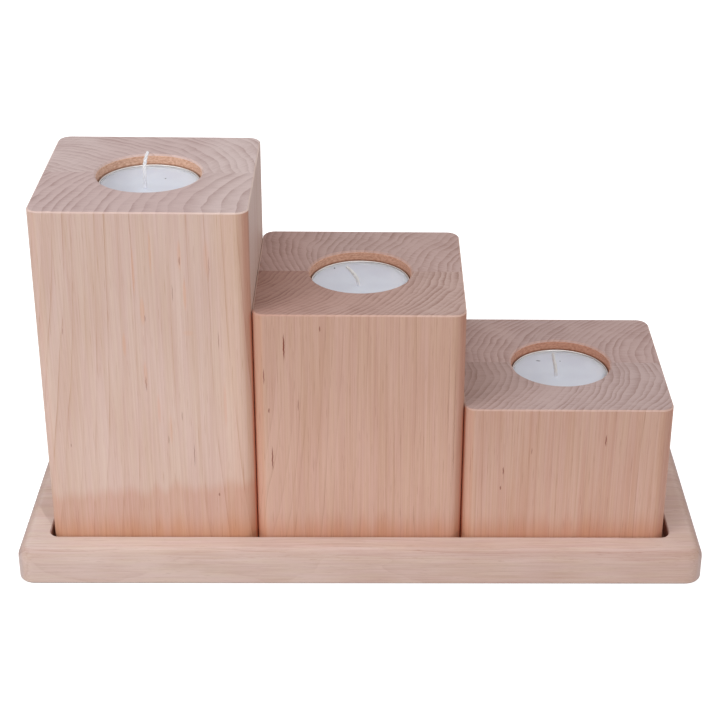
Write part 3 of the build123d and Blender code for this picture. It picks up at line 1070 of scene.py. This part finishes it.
def wax_material(name, middle, left_shade_share, specks):
    material, tree, shader = new_material(name)
    place = millimetres(tree, middle)
    spot = parts(tree, place)
    milky = noise(tree, place, (0.10, 0.10, 0.10), 3.0)
    frost = noise(tree, place, (1.4, 1.4, 1.4), 3.0)
    colour = mix_colour(tree, ramp(tree, milky, 0.30, 0.70), wax_white, wax_grey)
    # Painted shade, greyer towards the left
    to_left = ramp(tree, spot["X"], left_shade_from, left_shade_to, left_shade_share, 0.0)
    colour = mix_colour(tree, to_left, colour, wax_left_shade, "MULTIPLY")
    for x, y, length, width in specks:
        from_x, from_y = calc(tree, "SUBTRACT", spot["X"], x), calc(tree, "SUBTRACT", spot["Y"], y)
        far = oval(tree, from_x, length / 2, from_y, width / 2)
        colour = mix_colour(tree, ramp(tree, far, 0.2, 1.2, soot_strength, 0.0), colour, soot)
    fill(tree, shader, {
        "Base Color": colour,
        "Roughness": between(tree, frost, 0.36, 0.56),
        "Subsurface Weight": 1.0,
        "Subsurface Radius": red_goes_farthest,
        "Subsurface Scale": wax_light_path,
        "Normal": relief(tree, milky, 0.15, 0.05 * mm),
    })
    return material


print("specks of soot:", sum(len(specks) for specks in wax_specks.values()))

# %% [markdown]
# The wax sank as it set: its surface is dished, creeps up a little at the foil, and makes a small mound
# round the wick. The dish is spun like the cup. The wick stands a little off the axis, so the mound is
# raised afterwards, by moving the points of the surface near it.

# %% Wax fills
dish_depth = 1.9 * mm
dish_shares = (0.0, 0.06, 0.12, 0.2, 0.3, 0.4, 0.5, 0.6, 0.7, 0.8, 0.88, 0.94, 0.97, 0.99, 1.0)
wax_creep, creep_sharpness = 0.3 * mm, 24
wax_heel_segments = 5
mound_height, mound_spread = 0.5 * mm, 2.0 * mm
for name in tealights:
    low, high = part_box(name + "_tealight_wax")
    clip_low, clip_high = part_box(name + "_tealight_wick_clip")
    axis_point = Vector(((low.x + high.x) / 2, 0.0, low.z))
    wick_foot = Vector(((clip_low.x + clip_high.x) / 2, 0.0, 0.0))
    radius = (high.x - low.x) / 2
    height = high.z - low.z
    profile = []
    for share in dish_shares:
        sunk = dish_depth * (1 - share ** 2) + wax_creep * (1 - share ** creep_sharpness)
        profile.append((radius * share, height - sunk))
    profile += [(radius - cup_draft, 0.0), (0.0, 0.0)]
    heel = len(profile) - 2
    bm = spun_mesh(profile, {heel: (heel_radius - foil_thickness, wax_heel_segments)}, axis_point)
    for vert in bm.verts:
        away = (Vector((vert.co.x, vert.co.y, 0.0)) - wick_foot).length
        if vert.normal.z > 0.5 and vert.co.z > axis_point.z + height / 2:
            vert.co.z += mound_height * exp(-((away / mound_spread) ** 2))
    material = wax_material(name + "_wax", axis_point, left_shade_shares[name], wax_specks[name])
    finish_piece(bm, name, "wax_fill", "wax", material)

# %% [markdown]
# ## Wicks
# A wick is cotton drawn through wax. Its foot is soaked and as grey as the wax round it, and its top is
# drier and whiter. Cotton alone would be matt and opaque, but waxed cotton lets some light through, so it
# gets a little subsurface scattering.

# %% Wick cotton
# Each wick's light and dark cotton
wick_colours = {"tall": ((238, 238, 241), (228, 228, 232)), "middle": ((217, 214, 212), (208, 204, 201)),
                "short": ((217, 214, 212), (209, 205, 203))}
soaked_cotton = screen_colour(210, 211, 218)
# Heights above a wick's foot, in millimetres, between which the wax in it gives out
wick_soaks = {"tall": (4.0, 9.5), "middle": (0.5, 4.0), "short": (0.5, 4.0)}
wick_light_share, wick_light_path = 0.7, 1.0 * mm


def wick_material(name, foot, soak, light, dark):
    material, tree, shader = new_material(name)
    place = millimetres(tree, foot)
    fibres = noise(tree, place, (5.0, 5.0, 1.6), 3.0)
    cotton = mix_colour(tree, ramp(tree, fibres, 0.35, 0.65), screen_colour(*light), screen_colour(*dark))
    soaked = ramp(tree, parts(tree, place)["Z"], *soak, 1.0, 0.0)
    fill(tree, shader, {
        "Base Color": mix_colour(tree, soaked, cotton, soaked_cotton),
        "Roughness": between(tree, fibres, 0.40, 0.70),
        "Subsurface Weight": wick_light_share,
        "Subsurface Radius": red_goes_farthest,
        "Subsurface Scale": wick_light_path,
        "Normal": relief(tree, fibres, 0.25, 0.08 * mm),
    })
    return material


print("wick colours:", len(wick_colours))

# %% [markdown]
# The wick is a few strands twisted together. A curve with a bevel could follow its line, but its strands
# would not twist. So each strand starts as a small circle, which is extruded ring by ring. After each
# step the rings are tilted and turned about the wick's own line, which bends and twists the strands. The
# tip thins out.

# %% Twisted strands
strand_count, strand_sides = 3, 10
strand_radius, strand_offset = 0.47 * mm, 0.30 * mm
wick_steps = 48
twist_per_mm = radians(62)
thin_tip = 0.35
buried = 1.0 * mm


def twisted_strands(foot, length, bends):
    """Grows the strands from the wick's buried foot. Bends: of its lower and upper half, in degrees."""
    bm = bmesh.new()
    ring = []
    for number in range(strand_count):
        around = Matrix.Rotation(2 * pi * number / strand_count, 4, "Z")
        place = Matrix.Translation(foot) @ around @ Matrix.Translation((strand_offset, 0.0, 0.0))
        made = bmesh.ops.create_circle(bm, segments=strand_sides, radius=strand_radius, matrix=place,
                                       cap_ends=False)
        ring += dict.fromkeys(edge for vert in made["verts"] for edge in vert.link_edges)
    bmesh.ops.holes_fill(bm, edges=ring)
    step = (length + buried) / wick_steps
    twist = twist_per_mm * step / mm
    line_point, lean = foot.copy(), 0.0
    for number in range(wick_steps):
        grown = (number + 1) * step - buried
        half = 0 if grown <= length / 2 else 1
        bend = radians(bends[half]) * step / (length / 2) if grown > 0 else 0.0
        made = bmesh.ops.extrude_edge_only(bm, edges=ring)["geom"]
        ring = [item for item in made if isinstance(item, bmesh.types.BMEdge) and len(item.link_faces) == 1]
        verts = list(dict.fromkeys(vert for edge in ring for vert in edge.verts))
        stride = Vector((-sin(lean + bend / 2), 0.0, cos(lean + bend / 2))) * step
        bmesh.ops.translate(bm, verts=verts, vec=stride)
        line_point = line_point + stride
        lean += bend
        direction = Vector((-sin(lean), 0.0, cos(lean)))
        bmesh.ops.rotate(bm, verts=verts, cent=line_point, matrix=Matrix.Rotation(-bend, 3, "Y"))
        bmesh.ops.rotate(bm, verts=verts, cent=line_point, matrix=Matrix.Rotation(twist, 3, direction))
        past_half = max(0.0, grown / length - 0.5)
        taper = 1.0 - (1.0 - thin_tip) * past_half * 2 * step / (length / 2)
        bmesh.ops.scale(bm, verts=verts, vec=(taper, taper, taper), space=Matrix.Translation(-line_point))
    bmesh.ops.holes_fill(bm, edges=ring)
    bmesh.ops.recalc_face_normals(bm, faces=bm.faces)
    return bm


print("a wick has", strand_count, "strands of", strand_sides, "sides")

# %% [markdown]
# Each wick has its own length and bend. A wick throws hardly any shadow on bright wax, because so much
# light comes back out of the wax, so its shadow is switched off.

# %% Wicks
wick_lengths = {"tall": 15.1 * mm, "middle": 9.9 * mm, "short": 10.6 * mm}
# How far the lower and the upper half of each wick bend to the left, in degrees
wick_bends = {"tall": (-1.0, -23.0), "middle": (34.0, 16.0), "short": (13.0, -3.0)}
for name in tealights:
    low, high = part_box(name + "_tealight_wick_clip")
    wax_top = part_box(name + "_tealight_wax")[1].z
    foot = Vector(((low.x + high.x) / 2, 0.0, wax_top - dish_depth - buried))
    bm = twisted_strands(foot, wick_lengths[name], wick_bends[name])
    cotton = wick_material(name + "_wick_cotton", foot, wick_soaks[name], *wick_colours[name])
    wick = finish_piece(bm, name, "twisted_wick", "wick", cotton)
    wick.visible_shadow = False

# %% [markdown]
# ## Wick clips
# The clip that stands the wick up is sealed in the wax, so nobody sees it. It could stay bare, but it
# still gets the look of tinplate, with fine scratches, because the tealight may be taken apart.

# %% Clips
tin_bright, tin_dull = screen_colour(206, 205, 203), screen_colour(176, 175, 173)
tinplate, tree, shader = new_material("clip_tinplate")
scratches = noise(tree, millimetres(tree), (6.0, 0.5, 6.0), 3.0)
fill(tree, shader, {
    "Base Color": mix_colour(tree, scratches, tin_bright, tin_dull),
    "Roughness": between(tree, scratches, 0.22, 0.52),
    "Metallic": 1.0,
})
for name in tealights:
    dress(name + "_tealight_wick_clip", tinplate)

# %% [markdown]
# ## Size
# Dressing must not change how large the object is, so the box round the bare solids and the box round the
# dressed ones are printed side by side.

# %% Sizes
dressed_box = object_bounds()
corners = (*bare_box, *dressed_box)
print("bare and dressed box in mm:", [[round(c / mm, 2) for c in corner] for corner in corners])
